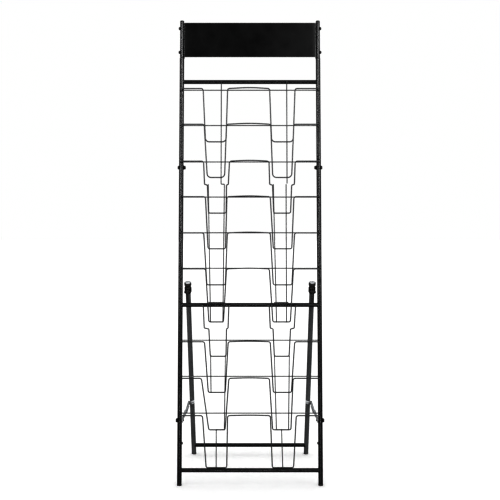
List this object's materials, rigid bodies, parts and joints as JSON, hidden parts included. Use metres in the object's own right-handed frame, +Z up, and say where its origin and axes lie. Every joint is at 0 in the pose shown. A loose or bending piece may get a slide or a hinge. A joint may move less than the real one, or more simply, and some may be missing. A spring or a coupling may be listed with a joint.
{
  "type": "brochure rack",
  "caption": "Folding floor-standing wire literature rack: leaning round-tube frame with tiers of paired wire pockets, a header sign panel and a hinged rear leg frame held by folding braces.",
  "frame": {"origin": "on the floor, under the middle of the rack's box at rest, with the leg frame open", "axes": "+X to the right as seen from the front, +Y from the front to the back, +Z up"},
  "size_m": [0.4798, 0.3724, 1.5238],
  "materials": {
    "tube_paint": "black powder coat, satin",
    "wire_paint": "black powder coat on wire, satin",
    "panel_paint": "black powder coat on sheet, smooth satin",
    "zinc": "zinc plated",
    "black_bolt": "black oxide",
    "rubber": "moulded, matte"
  },
  "bodies": {
    "front_frame": {"post_lower_left": "tube_paint", "post_upper_left": "tube_paint", "header_upright_left": "tube_paint", "section_bolt_left": "black_bolt", "header_bolt_upper_left": "black_bolt", "header_bolt_lower_left": "black_bolt", "front_foot_left": "rubber", "post_lower_right": "tube_paint", "post_upper_right": "tube_paint", "header_upright_right": "tube_paint", "section_bolt_right": "black_bolt", "header_bolt_upper_right": "black_bolt", "header_bolt_lower_right": "black_bolt", "front_foot_right": "rubber", "header_panel": "panel_paint", "crossbar_top": "tube_paint", "crossbar_bottom": "tube_paint", "crossbar_middle": "tube_paint", "pocket_wire_01": "wire_paint", "back_wire_01": "wire_paint", "pocket_wire_02": "wire_paint", "back_wire_02": "wire_paint", "pocket_wire_03": "wire_paint", "back_wire_03": "wire_paint", "pocket_wire_04": "wire_paint", "back_wire_04": "wire_paint", "pocket_wire_05": "wire_paint", "back_wire_05": "wire_paint", "pocket_wire_06": "wire_paint", "back_wire_06": "wire_paint", "pocket_wire_07": "wire_paint", "pocket_wire_08": "wire_paint", "back_wire_08": "wire_paint", "pocket_wire_09": "wire_paint", "back_wire_09": "wire_paint", "pocket_wire_10": "wire_paint", "back_wire_10": "wire_paint", "middle_ladder_left": "wire_paint", "short_rail_left": "wire_paint", "lower_ladder_left": "wire_paint", "upright_wire_right": "wire_paint", "middle_ladder_right": "wire_paint", "lower_ladder_right": "wire_paint", "brace_bolt_left": "black_bolt", "brace_bolt_right": "black_bolt"},
    "leg_frame": {"rear_leg_left": "tube_paint", "leg_cap_left": "rubber", "hinge_collar_left": "tube_paint", "hinge_bolt_left": "black_bolt", "rear_foot_left": "rubber", "rear_leg_right": "tube_paint", "leg_cap_right": "rubber", "hinge_collar_right": "tube_paint", "hinge_bolt_right": "black_bolt", "rear_foot_right": "rubber", "rear_crossbar": "tube_paint"},
    "left_front_link": {"brace_front_left": "zinc"},
    "left_rear_link": {"brace_rear_left": "zinc"},
    "right_front_link": {"brace_front_right": "zinc"},
    "right_rear_link": {"brace_rear_right": "zinc"}
  },
  "joints": [
    {"name": "leg_frame_fold", "type": "hinge", "parent": "front_frame", "child": "leg_frame", "pos_m": [0, -0.09202, 0.6181], "axis": [-1, 0, 0], "range_deg": [0, 28.25]},
    {"name": "left_brace_swing", "type": "hinge", "parent": "front_frame", "child": "left_front_link", "pos_m": [-0.2194, -0.14035, 0.20544], "axis": [1, 0, 0], "range_deg": [0, 74.2]},
    {"name": "left_brace_knuckle", "type": "hinge", "parent": "left_front_link", "child": "left_rear_link", "pos_m": [-0.217, -0.04167, 0.20683], "axis": [-1, 0, 0], "range_deg": [0, 171.2]},
    {"name": "right_brace_swing", "type": "hinge", "parent": "front_frame", "child": "right_front_link", "pos_m": [0.2194, -0.14035, 0.20544], "axis": [1, 0, 0], "range_deg": [0, 74.2]},
    {"name": "right_brace_knuckle", "type": "hinge", "parent": "right_front_link", "child": "right_rear_link", "pos_m": [0.217, -0.04167, 0.20683], "axis": [-1, 0, 0], "range_deg": [0, 171.2]}
  ],
  "couplings": [
    {"joint": "left_brace_swing", "follows": "leg_frame_fold", "ratio": 2.6153},
    {"joint": "left_brace_knuckle", "follows": "leg_frame_fold", "ratio": 6.048},
    {"joint": "right_brace_swing", "follows": "leg_frame_fold", "ratio": 2.6153},
    {"joint": "right_brace_knuckle", "follows": "leg_frame_fold", "ratio": 6.048}
  ]
}
